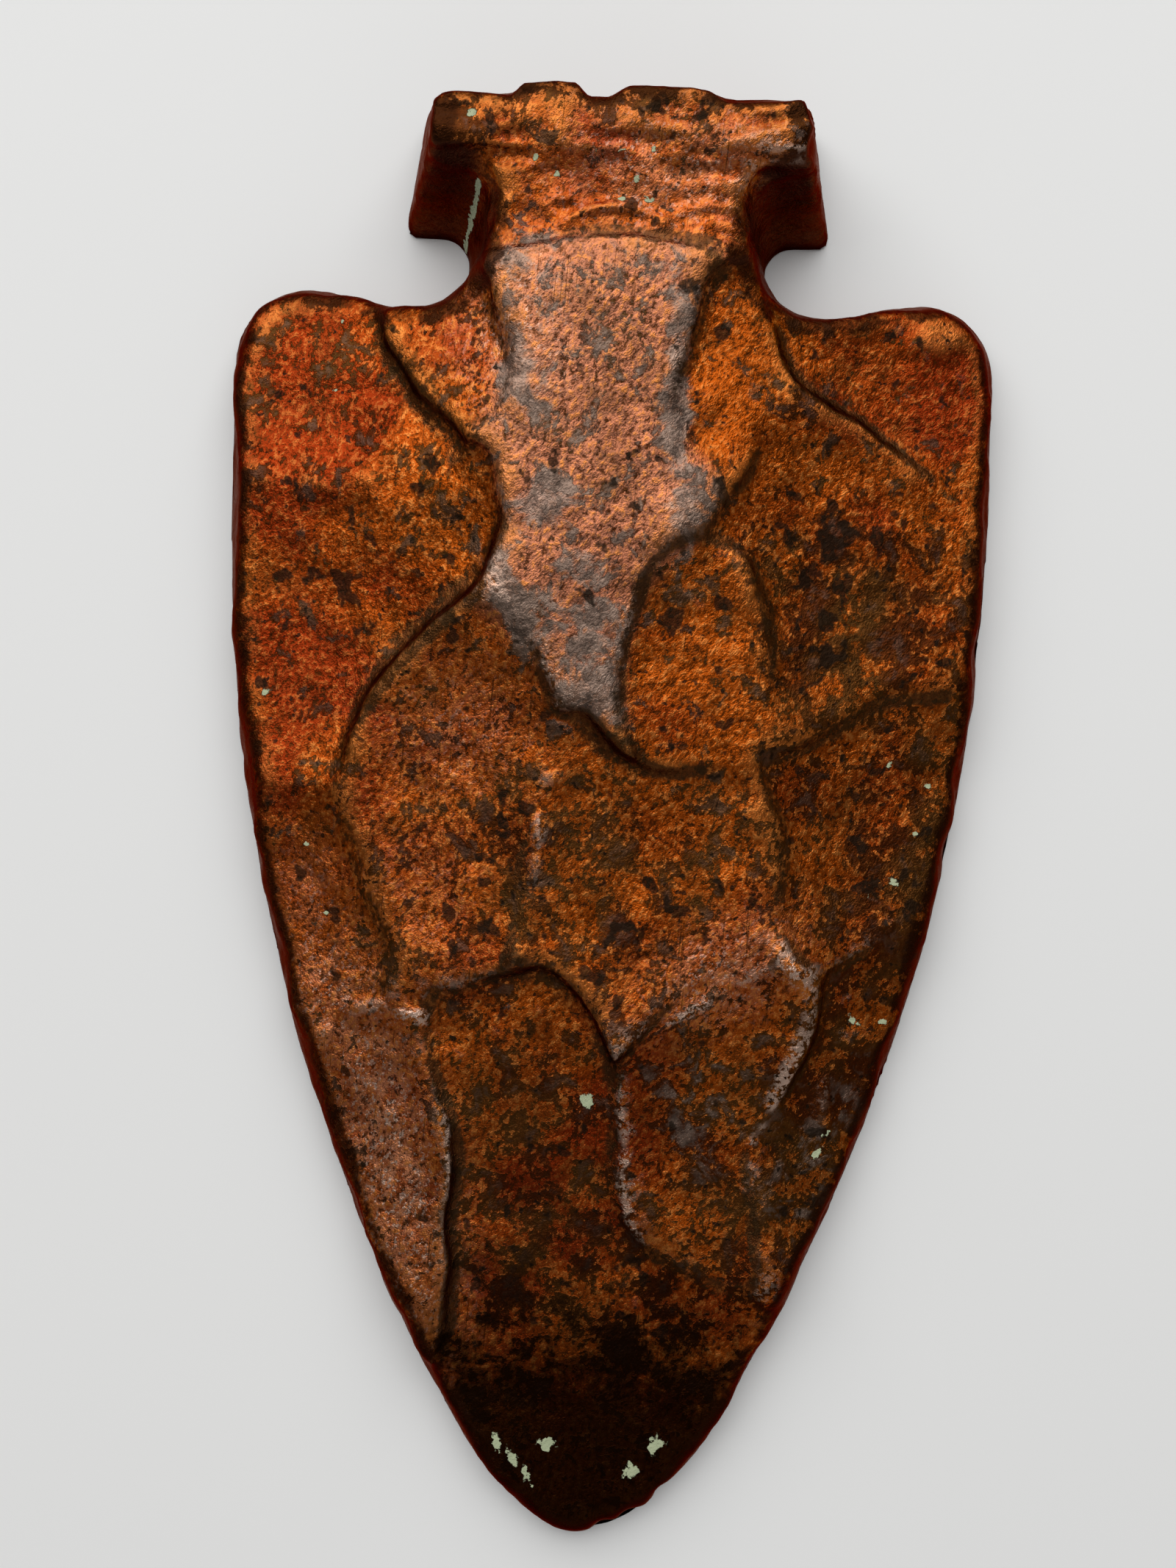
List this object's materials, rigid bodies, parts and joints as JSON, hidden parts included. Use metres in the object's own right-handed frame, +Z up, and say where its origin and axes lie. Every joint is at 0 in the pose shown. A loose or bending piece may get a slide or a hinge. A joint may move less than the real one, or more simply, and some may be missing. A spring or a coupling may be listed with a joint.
{
  "type": "arrowhead-shaped copper ingot",
  "caption": "Cast copper ingot shaped like a knapped arrowhead: flat back, flaked upper face, thin-edged ogival blade, notched stem and T-shaped base flange; a display ingot or paperweight.",
  "frame": {"origin": "centre of the bounding box on the flat back that lies on the floor", "axes": "+Y along the length from the tip to the base flange, +X across the blade, +Z up out of the flaked face"},
  "size_m": [0.0826, 0.154, 0.0165],
  "materials": {
    "copper": "as-cast copper with brown oxide, worn bright on the raised places"
  },
  "bodies": {
    "root": {"ingot": "copper"}
  },
  "joints": []
}
